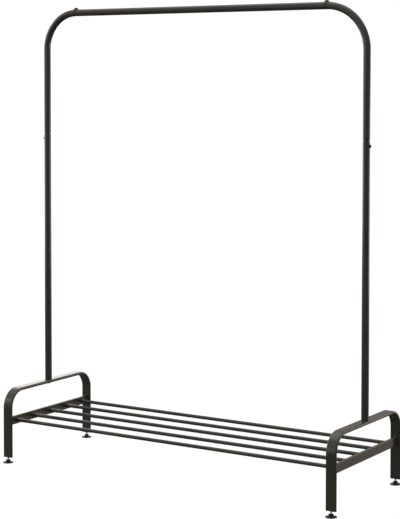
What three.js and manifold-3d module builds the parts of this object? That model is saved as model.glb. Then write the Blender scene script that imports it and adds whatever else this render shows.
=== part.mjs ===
// Free-standing garment rack with a shoe shelf, knock-down steel tube, four levelling feet.
// Millimetres, +Z up, +X along the hanging rail, -Y the front. Origin on the floor, under the centre.
import * as THREE from 'three';
import { mergeVertices } from 'three/addons/utils/BufferGeometryUtils.js';
import Module from 'manifold-3d';

const wasm = await Module();
wasm.setup();

// ---------------------------------------------------------------- driving dimensions
const RACK_HEIGHT = 1500;        // floor to the top of the hanging rail
const POST_SPAN = 1200;          // centre to centre of the two posts
const LEG_SPAN = 434;            // centre to centre of the front and back legs
const TUBE_R = 11.5;             // hanging rail and posts, 23 mm tube
const TUBE_WALL = 1.2;
const BEND_R = { left: 122, right: 135 }; // centreline radius of the two upper corners
const NECK_R = 10;               // swaged end that slips into the next tube
const NECK_WALL = 1.2;
const NECK_LENGTH = 44;
const SHORT_NECK = 15;           // top joints, where the corner bend starts at once
const SHORT_NECK_BORE = 8.2;
const MID_JOINT_Z = 1084;        // centre of the groove in each post
const MID_GROOVE = 4;
const TOP_GROOVE = 2.4;          // seam between the rail and each corner, under its screw
const SCREW_SETBACK = 17;        // post screw below the groove
const GAP = 0.3;                 // between pieces that touch

const FRAME_TOP = 243;           // top face of each end frame
const OVAL_W = 34;               // flat oval tube, width along X
const OVAL_T = 10;               // flat oval tube, thickness
const OVAL_CORNER = 4;
const OVAL_WALL = 1.0;
const FRAME_BEND_R = 62;         // outer corner radius of each end frame
const LEG_BOTTOM = 18;           // underside of the leg plugs
const PLUG_FLANGE = 2;
const PLUG_DEPTH = 24;

const SHELF_Z = 137;             // axis of the shelf bars
const SHELF_RAIL_H = 28;
const SHELF_RAIL_T = 9;
const SHELF_RAIL_WALL = 1.2;
const BAR_R = 6;
const BAR_WALL = 1.0;
const BAR_PITCH = 90;
const BAR_COUNT = 5;

const FOOT_DISC_R = 18;
const FOOT_DISC_H = 5;
const HUB_TOP = 11;
const STUD_R = 2.95;             // M6 levelling stud
const STUD_TOP = 40;

const TUBE_SIDES = 20;

const RAIL_Z = RACK_HEIGHT - TUBE_R;
const HALF = POST_SPAN / 2;
const JOINT_X = { left: HALF - BEND_R.left, right: HALF - BEND_R.right };

// ---------------------------------------------------------------- colours
const BLACK = { color: 0x2d2a27, roughness: 0.42, metalness: 0.35 };
const SCREW = { color: 0x1a1a1a, roughness: 0.35, metalness: 0.6 };
const PLASTIC = { color: 0x161616, roughness: 0.55, metalness: 0.0 };
const ZINC = { color: 0xb9bab8, roughness: 0.35, metalness: 0.9 };

const rack = new THREE.Group();
function add(parent, name, geometry, finish, at = [0, 0, 0], turn = [0, 0, 0]) {
  const mesh = new THREE.Mesh(geometry, new THREE.MeshStandardMaterial(finish));
  mesh.name = name;
  mesh.position.set(...at);
  mesh.rotation.set(...turn);
  parent.add(mesh);
  return mesh;
}

// ---------------------------------------------------------------- solids
function toSolid(geometry, matrix) {
  let g = geometry.clone();
  g.deleteAttribute('normal');
  g.deleteAttribute('uv');
  if (matrix) g.applyMatrix4(matrix);
  g = mergeVertices(g, 1e-4);
  return new wasm.Manifold(new wasm.Mesh({
    numProp: 3,
    vertProperties: Float32Array.from(g.attributes.position.array),
    triVerts: Uint32Array.from(g.index.array),
  }));
}
function toGeometry(solid) {
  const m = solid.getMesh();
  const g = new THREE.BufferGeometry();
  const p = new Float32Array((m.vertProperties.length / m.numProp) * 3);
  for (let i = 0; i < p.length / 3; i += 1) {
    for (let k = 0; k < 3; k += 1) p[3 * i + k] = m.vertProperties[m.numProp * i + k];
  }
  g.setAttribute('position', new THREE.BufferAttribute(p, 3));
  g.setIndex(new THREE.BufferAttribute(Uint32Array.from(m.triVerts), 1));
  g.computeVertexNormals();
  return g;
}
const move = (x, y, z) => new THREE.Matrix4().makeTranslation(x, y, z);
const turnX = (a) => new THREE.Matrix4().makeRotationX(a);
const turnY = (a) => new THREE.Matrix4().makeRotationY(a);
const turnZ = (a) => new THREE.Matrix4().makeRotationZ(a);
const chain = (...m) => m.reduce((a, b) => a.clone().multiply(b));

// Turned piece about +Z from [radius, height] pairs that start and end on the axis, or close.
function turned(points, sides) {
  const g = new THREE.LatheGeometry(points.map(([r, z]) => new THREE.Vector2(r, z)), sides);
  g.rotateX(Math.PI / 2);
  return g;
}
function ring(outer, inner, z0, z1, sides = TUBE_SIDES) {
  return turned([[inner, z0], [outer, z0], [outer, z1], [inner, z1], [inner, z0]], sides);
}
function rod(r, z0, z1, sides) {
  return turned([[0, z0], [r, z0], [r, z1], [0, z1]], sides);
}

// A path through given stations, with its frame held square to one fixed side direction.
class StationPath extends THREE.Curve {
  constructor(points, tangents, side) {
    super();
    this.points = points;
    this.tangentList = tangents;
    this.side = side.clone().normalize();
  }
  getPoint(t) { return this.points[Math.round(t * (this.points.length - 1))].clone(); }
  getPointAt(t) { return this.getPoint(t); }
  getTangentAt(t) { return this.tangentList[Math.round(t * (this.points.length - 1))].clone(); }
  getSpacedPoints() { return this.points.map((p) => p.clone()); }
  computeFrenetFrames() {
    const tangents = this.tangentList.map((v) => v.clone().normalize());
    const binormals = tangents.map(() => this.side.clone());
    const normals = tangents.map((v) => this.side.clone().cross(v).normalize());
    return { tangents, normals, binormals };
  }
}
// Stations in the plane (u, v): straight, arc, straight, from a list of points and corner radii.
function bentStations(corners, radii, steps, plane) {
  const pts = [];
  const tans = [];
  const push = (p, t) => { pts.push(plane(p.x, p.y)); tans.push(plane(t.x, t.y).sub(plane(0, 0)).normalize()); };
  const c = corners.map(([x, y]) => new THREE.Vector2(x, y));
  const dir = (a, b) => b.clone().sub(a).normalize();
  push(c[0], dir(c[0], c[1]));
  for (let i = 1; i < c.length - 1; i += 1) {
    const d0 = dir(c[i - 1], c[i]);
    const d1 = dir(c[i], c[i + 1]);
    const cross = d0.x * d1.y - d0.y * d1.x;
    const sgn = Math.sign(cross);
    const turn = Math.acos(THREE.MathUtils.clamp(d0.dot(d1), -1, 1));
    const r = radii[i - 1];
    const start = c[i].clone().addScaledVector(d0, -r * Math.tan(turn / 2));
    const n = new THREE.Vector2(-d0.y, d0.x).multiplyScalar(sgn);
    const centre = start.clone().addScaledVector(n, r);
    for (let k = 0; k <= steps; k += 1) {
      const a = sgn * turn * (k / steps);
      const rel = start.clone().sub(centre).rotateAround(new THREE.Vector2(0, 0), a);
      push(centre.clone().add(rel), d0.clone().rotateAround(new THREE.Vector2(0, 0), a));
    }
  }
  push(c[c.length - 1], dir(c[c.length - 2], c[c.length - 1]));
  return [pts, tans];
}
function swept(shape, pts, tans, side, curveSegments = 6) {
  return new THREE.ExtrudeGeometry(shape, {
    steps: pts.length - 1, extrudePath: new StationPath(pts, tans, side), curveSegments,
  });
}
function circlePoints(r, sides, turn = 0) {
  return Array.from({ length: sides }, (_, i) => {
    const a = turn + (2 * Math.PI * i) / sides;
    return new THREE.Vector2(r * Math.cos(a), r * Math.sin(a));
  });
}
function roundTubeShape(outer, inner, sides) {
  const s = new THREE.Shape(circlePoints(outer, sides));
  s.holes.push(new THREE.Path(circlePoints(inner, sides).reverse()));
  return s;
}
// Rounded rectangle outline, x by y, with arcs of n steps.
function roundedOutline(x, y, r, n) {
  const out = [];
  const cx = x / 2 - r;
  const cy = y / 2 - r;
  [[cx, cy, 0], [-cx, cy, 1], [-cx, -cy, 2], [cx, -cy, 3]].forEach(([ox, oy, q]) => {
    for (let i = 0; i <= n; i += 1) {
      const a = (q + i / n) * (Math.PI / 2);
      out.push(new THREE.Vector2(ox + r * Math.cos(a), oy + r * Math.sin(a)));
    }
  });
  return out;
}
function boxTubeShape(x, y, r, wall, n) {
  const s = new THREE.Shape(roundedOutline(x, y, r, n));
  s.holes.push(new THREE.Path(roundedOutline(x - 2 * wall, y - 2 * wall, Math.max(0.3, r - wall), n).reverse()));
  return s;
}
function plate(outline, depth, holes = []) {
  const s = new THREE.Shape(outline);
  holes.forEach((h) => s.holes.push(new THREE.Path(h.slice().reverse())));
  return new THREE.ExtrudeGeometry(s, { depth, bevelEnabled: false, steps: 1 });
}

// Swaged end for the top joints, pointing along +Z from the tube's end face at z = 0. Its tip
// tapers, because on the left it reaches into the start of the bend.
function shortNeck() {
  return turned([
    [SHORT_NECK_BORE, -6], [TUBE_R - 0.5, -6], [TUBE_R - 0.5, -0.5], [NECK_R - 0.1, -0.5], [NECK_R - 0.1, 0.5],
    [8.75, SHORT_NECK], [SHORT_NECK_BORE, SHORT_NECK], [SHORT_NECK_BORE, -6],
  ], TUBE_SIDES);
}

// ---------------------------------------------------------------- hanging rail
// Tube along X. Its left end is swaged and slips into the left corner; its right end takes the
// swaged end of the right corner. Each screw stands on its seam, in a half-round notch in both tubes.
const alongX = turnY(Math.PI / 2);
const holeAt = (matrix, r = 3.3, length = 20) => toSolid(rod(r, 0, length, 12), matrix);
{
  const x0 = -JOINT_X.left + TOP_GROOVE / 2;
  const x1 = JOINT_X.right - TOP_GROOVE / 2;
  let s = toSolid(ring(TUBE_R, TUBE_R - TUBE_WALL, x0, x1), alongX);
  s = s.add(toSolid(shortNeck(), chain(move(x0, 0, 0), turnY(-Math.PI / 2))));
  s = s.subtract(holeAt(move(-JOINT_X.left, 0, 0)));
  s = s.subtract(holeAt(move(JOINT_X.right, 0, 0)));
  add(rack, 'top_rail', toGeometry(s), BLACK, [0, 0, RAIL_Z]);
}

// ---------------------------------------------------------------- upper posts
// Straight lower end swaged to fit the lower post, 90 degree corner, then the joint to the rail.
[['left', -1], ['right', 1]].forEach(([side, sx]) => {
  const z0 = MID_JOINT_Z + MID_GROOVE / 2;
  const xEnd = JOINT_X[side] + TOP_GROOVE / 2;
  const [pts, tans] = bentStations(
    [[HALF, z0], [HALF, RAIL_Z], [xEnd, RAIL_Z]], [BEND_R[side] - 0.01], 10,
    (u, v) => new THREE.Vector3(sx * u, 0, v),
  );
  const shape = roundTubeShape(TUBE_R, TUBE_R - TUBE_WALL, TUBE_SIDES);
  // The last straight is very short, so its stations are dropped where they would coincide.
  const keepP = [];
  const keepT = [];
  pts.forEach((p, i) => {
    if (!keepP.length || p.distanceTo(keepP[keepP.length - 1]) > 1.5) { keepP.push(p); keepT.push(tans[i]); }
  });
  keepP[keepP.length - 1] = pts[pts.length - 1];
  keepT[keepT.length - 1] = tans[tans.length - 1];
  let s = toSolid(swept(shape, keepP, keepT, new THREE.Vector3(0, 1, 0)));
  const post = move(sx * HALF, 0, 0);
  s = s.add(toSolid(ring(NECK_R, NECK_R - NECK_WALL, z0 - NECK_LENGTH, z0 + 6), post));
  s = s.add(toSolid(ring(TUBE_R - 0.5, NECK_R - NECK_WALL, z0 + 0.5, z0 + 6), post));
  const screwZ = MID_JOINT_Z - SCREW_SETBACK;
  s = s.subtract(holeAt(chain(move(sx * HALF, 0, screwZ), turnY(sx * Math.PI / 2))));
  if (side === 'left') {
    s = s.subtract(holeAt(move(-JOINT_X.left, 0, RAIL_Z)));
  } else {
    s = s.add(toSolid(shortNeck(), chain(move(JOINT_X.right + TOP_GROOVE / 2, 0, RAIL_Z), turnY(-Math.PI / 2))));
    s = s.subtract(holeAt(move(JOINT_X.right, 0, RAIL_Z)));
  }
  add(rack, `upper_post_${side}`, toGeometry(s), BLACK);
});

// ---------------------------------------------------------------- lower posts
const BASE_PLUG_H = 22;
[['left', -1], ['right', 1]].forEach(([side, sx]) => {
  const z0 = FRAME_TOP + GAP;
  const z1 = MID_JOINT_Z - MID_GROOVE / 2;
  let s = toSolid(ring(TUBE_R, TUBE_R - TUBE_WALL, z0, z1));
  s = s.subtract(holeAt(chain(move(0, 0, MID_JOINT_Z - SCREW_SETBACK), turnY(sx * Math.PI / 2))));
  add(rack, `lower_post_${side}`, toGeometry(s), BLACK, [sx * HALF, 0, 0]);
  // Threaded steel insert pressed into the foot of the post.
  add(rack, `post_insert_${side}`, ring(TUBE_R - TUBE_WALL - GAP - 0.1, 4.3, z0 + 1, z0 + 1 + BASE_PLUG_H, 20), ZINC, [sx * HALF, 0, 0]);
  // Base bolt, up through both walls of the end frame, with its washer.
  const under = FRAME_TOP - OVAL_T - GAP;
  add(rack, `base_washer_${side}`, ring(9, 4.3, under - 1.2, under, 20), ZINC, [sx * HALF, 0, 0]);
  let bolt = toSolid(turned([
    [0, under - 4.4], [4.2, under - 4.4], [6.1, under - 3.6], [6.5, under - 2.6], [6.5, under - 1.5],
    [4, under - 1.5], [4, z0 + 18], [3.4, z0 + 18.8], [0, z0 + 18.8],
  ], 20));
  bolt = bolt.subtract(toSolid(rod(2.9, under - 6, under - 2.2, 6)));
  add(rack, `base_bolt_${side}`, toGeometry(bolt), ZINC, [sx * HALF, 0, 0]);
});

// ---------------------------------------------------------------- joint screws and nuts
// Button head M6 screw along +Z, underside of the head at z = 0.
const buttonScrew = (() => {
  let s = toSolid(turned([
    [0, -9.6], [2.5, -9.6], [3, -9.1], [3, 0], [5.25, 0], [5.25, 0.5], [4.6, 2.0], [3.0, 3.1], [0, 3.3],
  ], 16));
  s = s.subtract(toSolid(rod(2.3, 1.3, 5, 6)));
  return toGeometry(s);
})();
// Low mushroom head screw on top of the rail, Ø13.6 head on an M6 shank.
const railScrew = (() => {
  let s = toSolid(turned([
    [0, -9.6], [2.5, -9.6], [3, -9.1], [3, 0], [6.8, 0], [6.8, 0.6], [6.2, 1.8], [4.8, 3.2], [3.2, 3.9], [0, 4.0],
  ], 18));
  s = s.subtract(toSolid(rod(2.3, 1.8, 6, 6)));
  return toGeometry(s);
})();
// Square weld nut inside the swaged end, hole along Z, top face at z = 0.
const weldNut = (() => {
  const g = plate(roundedOutline(8.8, 8.8, 1, 1), 4, [circlePoints(3.3, 12)]);
  g.translate(0, 0, -4);
  return g;
})();
// Saddle washer that bridges the seam and follows the round of the rail, Ø20.
const saddleWasher = (() => {
  let s = toSolid(turned([[3.4, -6], [10, -6], [10, TUBE_R + 0.9], [8.6, TUBE_R + 1.3], [3.4, TUBE_R + 1.3], [3.4, -6]], 20));
  s = s.intersect(toSolid(rod(TUBE_R + 1.5, -12, 12, 28), alongX));
  s = s.subtract(toSolid(rod(TUBE_R + GAP, -20, 20, 28), alongX));
  const g = toGeometry(s);
  return g;
})();
const nutTop = 6.2;
[['left', -1], ['right', 1]].forEach(([side, sx]) => {
  const z = MID_JOINT_Z - SCREW_SETBACK;
  const turn = [0, (sx * Math.PI) / 2, 0];
  add(rack, `post_screw_${side}`, buttonScrew.clone(), SCREW, [sx * (HALF + TUBE_R + GAP), 0, z], turn);
  add(rack, `post_nut_${side}`, weldNut.clone(), ZINC, [sx * (HALF + nutTop), 0, z], turn);
  const x = sx * JOINT_X[side];
  add(rack, `rail_screw_${side}`, railScrew.clone(), SCREW, [x, 0, RAIL_Z + TUBE_R + 1.3 + GAP]);
  add(rack, `rail_washer_${side}`, saddleWasher.clone(), BLACK, [x, 0, RAIL_Z]);
  add(rack, `rail_nut_${side}`, weldNut.clone(), ZINC, [x, 0, RAIL_Z + nutTop - 0.3]);
});

// ---------------------------------------------------------------- end frames
// Flat oval tube bent the easy way into an inverted U: front leg, top, back leg.
const legY = LEG_SPAN / 2;
[['left', -1], ['right', 1]].forEach(([side, sx]) => {
  const zTop = FRAME_TOP - OVAL_T / 2;
  const zLow = LEG_BOTTOM + PLUG_FLANGE + GAP;
  const r = FRAME_BEND_R - OVAL_T / 2;
  const [pts, tans] = bentStations(
    [[-legY, zLow], [-legY, zTop], [legY, zTop], [legY, zLow]], [r, r], 7,
    (u, v) => new THREE.Vector3(0, u, v),
  );
  const shape = boxTubeShape(OVAL_T, OVAL_W, OVAL_CORNER, OVAL_WALL, 2);
  let s = toSolid(swept(shape, pts, tans, new THREE.Vector3(1, 0, 0)));
  s = s.subtract(toSolid(rod(4.4, FRAME_TOP - OVAL_T - 3, FRAME_TOP + 3, 16)));
  add(rack, `end_frame_${side}`, toGeometry(s), BLACK, [sx * HALF, 0, 0]);
});

// ---------------------------------------------------------------- shoe shelf
const railHalf = legY - OVAL_T / 2 - GAP;
[['left', -1], ['right', 1]].forEach(([side, sx]) => {
  const pts = [new THREE.Vector3(0, -railHalf, 0), new THREE.Vector3(0, railHalf, 0)];
  const tans = pts.map(() => new THREE.Vector3(0, 1, 0));
  const shape = boxTubeShape(SHELF_RAIL_H, SHELF_RAIL_T, 1.2, SHELF_RAIL_WALL, 2);
  add(rack, `shelf_rail_${side}`, swept(shape, pts, tans, new THREE.Vector3(1, 0, 0)), BLACK, [sx * HALF, 0, SHELF_Z]);
});
const barHalf = HALF - SHELF_RAIL_T / 2 - GAP;
for (let i = 0; i < BAR_COUNT; i += 1) {
  const y = (i - (BAR_COUNT - 1) / 2) * BAR_PITCH;
  const g = ring(BAR_R, BAR_R - BAR_WALL, -barHalf, barHalf, 18);
  g.applyMatrix4(alongX);
  add(rack, `shelf_bar_${i + 1}`, g, BLACK, [0, y, SHELF_Z]);
}

// ---------------------------------------------------------------- leg plugs and levelling feet
const plugGeometry = (() => {
  const bore = circlePoints(3.25, 14);
  const flange = plate(roundedOutline(OVAL_W, OVAL_T, OVAL_CORNER, 2), PLUG_FLANGE, [bore]);
  const inner = OVAL_T - 2 * OVAL_WALL - 2 * GAP;
  const body = plate(roundedOutline(OVAL_W - 2 * OVAL_WALL - 2 * GAP, inner, OVAL_CORNER - OVAL_WALL - GAP, 2), PLUG_DEPTH, [bore]);
  body.translate(0, 0, PLUG_FLANGE - 0.5);
  return toGeometry(toSolid(flange).add(toSolid(body)));
})();
const discGeometry = turned([
  [0, 0], [16.8, 0], [FOOT_DISC_R, 0.8], [FOOT_DISC_R, 1.8], [15.5, 3.2], [11, 4.4], [8, FOOT_DISC_H],
  [5.2, FOOT_DISC_H], [5.2, 3], [0, 3],
], 22);
// Stud: a collar turns in the disc's socket under the hub, the threaded shank stands up into the leg.
const studGeometry = turned([
  [0, 3.3], [4.9, 3.3], [4.9, 4.7], [STUD_R, 4.7], [STUD_R, STUD_TOP - 1], [STUD_R - 1, STUD_TOP], [0, STUD_TOP],
], 16);
// Hex hub fixed on the stud, the spanner grip.
const hubGeometry = (() => {
  let s = toSolid(turned([
    [0, FOOT_DISC_H + GAP], [7.6, FOOT_DISC_H + GAP], [7.6, HUB_TOP - 1.6], [6.0, HUB_TOP], [0, HUB_TOP],
  ], 6));
  s = s.subtract(toSolid(rod(STUD_R + GAP, 0, HUB_TOP + 5, 16)));
  return toGeometry(s);
})();
[['front_left', -1, -1], ['front_right', 1, -1], ['back_left', -1, 1], ['back_right', 1, 1]].forEach(([name, sx, sy]) => {
  const at = [sx * HALF, sy * legY];
  add(rack, `leg_plug_${name}`, plugGeometry.clone(), PLASTIC, [...at, LEG_BOTTOM]);
  add(rack, `foot_disc_${name}`, discGeometry.clone(), PLASTIC, [...at, 0]);
  add(rack, `foot_stud_${name}`, studGeometry.clone(), ZINC, [...at, 0]);
  add(rack, `foot_hub_${name}`, hubGeometry.clone(), PLASTIC, [...at, 0]);
});

export default rack;
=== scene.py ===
import math
import random

import bpy
import bmesh
import numpy as np
from mathutils import Matrix, Vector


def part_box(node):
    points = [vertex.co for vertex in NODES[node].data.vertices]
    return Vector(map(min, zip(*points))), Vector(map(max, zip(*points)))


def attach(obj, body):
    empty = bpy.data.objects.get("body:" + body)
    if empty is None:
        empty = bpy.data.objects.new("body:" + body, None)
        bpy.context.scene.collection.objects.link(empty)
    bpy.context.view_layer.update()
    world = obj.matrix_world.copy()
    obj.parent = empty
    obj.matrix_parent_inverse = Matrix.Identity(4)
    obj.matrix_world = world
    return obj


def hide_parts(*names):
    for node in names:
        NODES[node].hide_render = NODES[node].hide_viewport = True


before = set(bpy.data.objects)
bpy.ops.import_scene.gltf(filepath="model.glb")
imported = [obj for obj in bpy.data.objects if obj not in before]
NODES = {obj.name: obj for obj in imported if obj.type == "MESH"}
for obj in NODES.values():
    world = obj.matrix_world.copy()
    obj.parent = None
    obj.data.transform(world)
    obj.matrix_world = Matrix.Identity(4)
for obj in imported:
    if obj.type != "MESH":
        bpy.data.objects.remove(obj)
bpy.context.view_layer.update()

MM = 0.001
scene = bpy.context.scene

# ---------------------------------------------------------------- sizes, all read off the frame
def span(node):
    lo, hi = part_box(node)
    return np.array(lo) / MM, np.array(hi) / MM

_fl, _fh = span("end_frame_right")
HALF = (_fl[0] + _fh[0]) / 2                 # post centre, X
OVAL_W = _fh[0] - _fl[0]
OVAL_T = 10.0
FRAME_TOP = _fh[2]
LEG_Y = _fh[1] - OVAL_T / 2
LEG_LOW = _fl[2]
_rl, _rh = span("top_rail")
TUBE_R = (_rh[1] - _rl[1]) / 2
RAIL_Z = (_rl[2] + _rh[2]) / 2
SEAM = 1.2                                   # half of the open seam between the rail and a corner
JOINT_X = {"left": -_rl[0] - 15.0 + SEAM, "right": _rh[0] + SEAM}
BEND_R = {s: HALF - x for s, x in JOINT_X.items()}
_ll, _lh = span("lower_post_right")
POST_LOW, POST_MID = _ll[2], _lh[2]
UPPER_LOW = POST_MID + 4.0
_sl, _sh = span("shelf_rail_right")
SHELF_Z = (_sl[2] + _sh[2]) / 2
SHELF_RAIL_H, SHELF_RAIL_T = _sh[2] - _sl[2], _sh[0] - _sl[0]
SHELF_RAIL_Y = _sh[1]
_bl, _bh = span("shelf_bar_1")
BAR_R, BAR_X = (_bh[2] - _bl[2]) / 2, _bh[0]
SCREW_Z = POST_MID + 2.0 - 17.0
FEET = {"front_left": (-1, -1), "front_right": (1, -1), "back_left": (-1, 1), "back_right": (1, 1)}
SIDES = {"left": -1, "right": 1}

# ---------------------------------------------------------------- mesh helpers
def new_object(name, verts, faces, material=None, smooth=32.0, wear=None):
    me = bpy.data.meshes.new(name)
    me.from_pydata([tuple(float(c) * MM for c in v) for v in verts], [], faces)
    me.update()
    bm = bmesh.new()
    bm.from_mesh(me)
    bmesh.ops.recalc_face_normals(bm, faces=bm.faces)
    bm.to_mesh(me)
    bm.free()
    if smooth:
        me.shade_smooth()
        me.set_sharp_from_angle(angle=math.radians(smooth))
    o = bpy.data.objects.new(name, me)
    scene.collection.objects.link(o)
    if material is not None:
        me.materials.append(material)
    return o


def join_shells(name, parts, material=None, smooth=32.0):
    """parts: list of (verts, faces) closed shells."""
    verts, faces = [], []
    for v, f in parts:
        k = len(verts)
        verts.extend([tuple(p) for p in v])
        faces.extend([tuple(i + k for i in q) for q in f])
    return new_object(name, verts, faces, material, smooth)


def loft(rings, loop=False, caps=True):
    """Rings of equal count to a closed shell: looped like a torus, or capped at both ends."""
    n = len(rings[0])
    verts = [tuple(p) for r in rings for p in r]
    faces = []
    m = len(rings)
    for i in range(m if loop else m - 1):
        a, b = i * n, ((i + 1) % m) * n
        for j in range(n):
            k = (j + 1) % n
            faces.append((a + j, a + k, b + k, b + j))
    if not loop and caps:
        faces.append(tuple(reversed(range(n))))
        faces.append(tuple(range((m - 1) * n, m * n)))
    return verts, faces


def circle(n, phase=0.0):
    a = np.linspace(0, 2 * math.pi, n, endpoint=False) + phase
    return np.stack([np.cos(a), np.sin(a)], 1)


def round_section(n=64):
    c = circle(n)
    return lambda d, r: c * (r - d)


def rounded_rect(w, h, r, n=6):
    """Outline function of inset d: w along the first axis, h along the second."""
    def outline(d, _=None):
        rr = max(r - d, 0.25)
        cx, cy = w / 2 - d - rr, h / 2 - d - rr
        out = []
        for q, (sx, sy) in enumerate([(1, 1), (-1, 1), (-1, -1), (1, -1)]):
            for i in range(n + 1):
                a = (q + i / n) * math.pi / 2
                out.append((sx * cx + rr * math.cos(a), sy * cy + rr * math.sin(a)))
        # extra points along the long flats so that shading and wear have somewhere to sit
        pts = []
        m = len(out)
        for i in range(m):
            a, b = np.array(out[i]), np.array(out[(i + 1) % m])
            pts.append(a)
            if (i + 1) % (n + 1) == 0:
                for t in (0.06, 0.5, 0.94):
                    pts.append(a * (1 - t) + b * t)
        return np.array(pts)
    return outline


class Path:
    """Straights and arcs in one plane, sampled by arc length. side is square to the plane."""
    def __init__(self, corners, radii, side):
        self.side = np.array(side, float)
        c = [np.array(p, float) for p in corners]
        self.segs = []
        s = 0.0
        p = c[0]
        for i in range(1, len(c)):
            d = (c[i] - c[i - 1]) / np.linalg.norm(c[i] - c[i - 1])
            if i < len(c) - 1:
                d2 = (c[i + 1] - c[i]) / np.linalg.norm(c[i + 1] - c[i])
                turn = math.acos(max(-1, min(1, float(d @ d2))))
                r = radii[i - 1]
                start = c[i] - d * r * math.tan(turn / 2)
                L = float((start - p) @ d)
                self.segs.append(("line", s, s + L, p.copy(), d.copy()))
                s += L
                n = d2 - d * float(d @ d2)
                n /= np.linalg.norm(n)
                self.segs.append(("arc", s, s + r * turn, start.copy(), d.copy(), n, r, turn))
                s += r * turn
                p = c[i] + d2 * r * math.tan(turn / 2)
            else:
                L = float((c[i] - p) @ d)
                self.segs.append(("line", s, s + L, p.copy(), d.copy()))
                s += L
        self.length = s

    def at(self, s):
        for g in self.segs:
            if s <= g[2] + 1e-6 or g is self.segs[-1]:
                break
        if g[0] == "line":
            p, t = g[3] + g[4] * (s - g[1]), g[4]
        else:
            _, s0, s1, start, d, n, r, turn = g
            a = (s - s0) / r
            p = start + n * r * (1 - math.cos(a)) + d * r * math.sin(a)
            t = d * math.cos(a) + n * math.sin(a)
        nrm = np.cross(self.side, t)
        return p, t, nrm / np.linalg.norm(nrm), self.side

    def stations(self, s0, s1, step_arc=4.0, step_line=60.0):
        """Arc lengths between s0 and s1, dense in the bends."""
        out = [s0]
        for g in self.segs:
            a, b = max(g[1], s0), min(g[2], s1)
            if b - a < 1e-6:
                continue
            n = max(1, int(math.ceil((b - a) / (step_arc if g[0] == "arc" else step_line))))
            out += [a + (b - a) * i / n for i in range(1, n + 1)]
        clean = []
        for s in sorted(out):
            if not clean or s - clean[-1] > 1e-4:
                clean.append(s)
        return clean


def shell_on_path(path, profile, section, radius=0.0):
    """profile: closed list of (s, inset d). Rings are square to the path."""
    rings = []
    for s, d in profile:
        p, t, n, b = path.at(min(max(s, 0), path.length))
        extra = s - min(max(s, 0), path.length)
        p = p + t * extra
        o = section(d, radius)
        rings.append(p + np.outer(o[:, 0], n) + np.outer(o[:, 1], b))
    return loft(rings, loop=True)


def lip(s, out, wall, r=0.45, sign=1):
    """Rounded mouth of a tube at arc length s: from the outer face over the lip to the bore."""
    seq = []
    for a in (0, 30, 60, 90):
        q = math.radians(a)
        seq.append((s - sign * r * (1 - math.sin(q)), out + r * (1 - math.cos(q))))
    inner = []
    for a in (90, 60, 30, 0):
        q = math.radians(a)
        inner.append((s - sign * r * (1 - math.sin(q)), out + wall - r * (1 - math.cos(q))))
    return seq + inner


def lathe(profile, n=48, axis="Z", at=(0, 0, 0), section=None):
    """profile of (radius, z) from axis to axis: first and last radius 0 become poles."""
    c = circle(n)
    verts, faces, rows = [], [], []
    for r, z in profile:
        if r <= 1e-9:
            rows.append([len(verts)])
            verts.append((0, 0, z))
        else:
            k = len(verts)
            o = c * r if section is None else section(r, z)
            verts += [(o[j][0], o[j][1], z) for j in range(n)]
            rows.append(list(range(k, k + n)))
    for a, b in zip(rows, rows[1:]):
        if len(a) == 1 and len(b) == 1:
            continue
        for j in range(n):
            k = (j + 1) % n
            if len(a) == 1:
                faces.append((a[0], b[k], b[j]))
            elif len(b) == 1:
                faces.append((a[j], a[k], b[0]))
            else:
                faces.append((a[j], a[k], b[k], b[j]))
    return place((verts, faces), axis, at)


def place(shell, axis="Z", at=(0, 0, 0)):
    verts, faces = shell
    m = {"Z": Matrix.Identity(3), "X": Matrix.Rotation(math.pi / 2, 3, "Y"),
         "-X": Matrix.Rotation(-math.pi / 2, 3, "Y"), "Y": Matrix.Rotation(-math.pi / 2, 3, "X"),
         "-Z": Matrix.Rotation(math.pi, 3, "X")}[axis]
    out = []
    for v in verts:
        w = m @ Vector(v)
        out.append((w.x + at[0], w.y + at[1], w.z + at[2]))
    return out, faces


def cut(obj, *cutters):
    """Boolean holes, applied into the mesh."""
    for cutter in cutters:
        v, f = cutter
        c = new_object("cutter", v, f, None, smooth=None)
        mod = obj.modifiers.new("hole", "BOOLEAN")
        mod.operation = "DIFFERENCE"
        mod.solver = "EXACT"
        mod.object = c
        dg = bpy.context.evaluated_depsgraph_get()
        me = bpy.data.meshes.new_from_object(obj.evaluated_get(dg))
        obj.modifiers.remove(mod)
        old = obj.data
        obj.data = me
        bpy.data.meshes.remove(old)
        cm = c.data
        bpy.data.objects.remove(c)
        bpy.data.meshes.remove(cm)
    obj.data.shade_smooth()
    obj.data.set_sharp_from_angle(angle=math.radians(32))
    return obj


def rod(r, z0, z1, n=32, axis="Z", at=(0, 0, 0)):
    return lathe([(0, z0), (r, z0), (r, z1), (0, z1)], n, axis, at)


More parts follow.
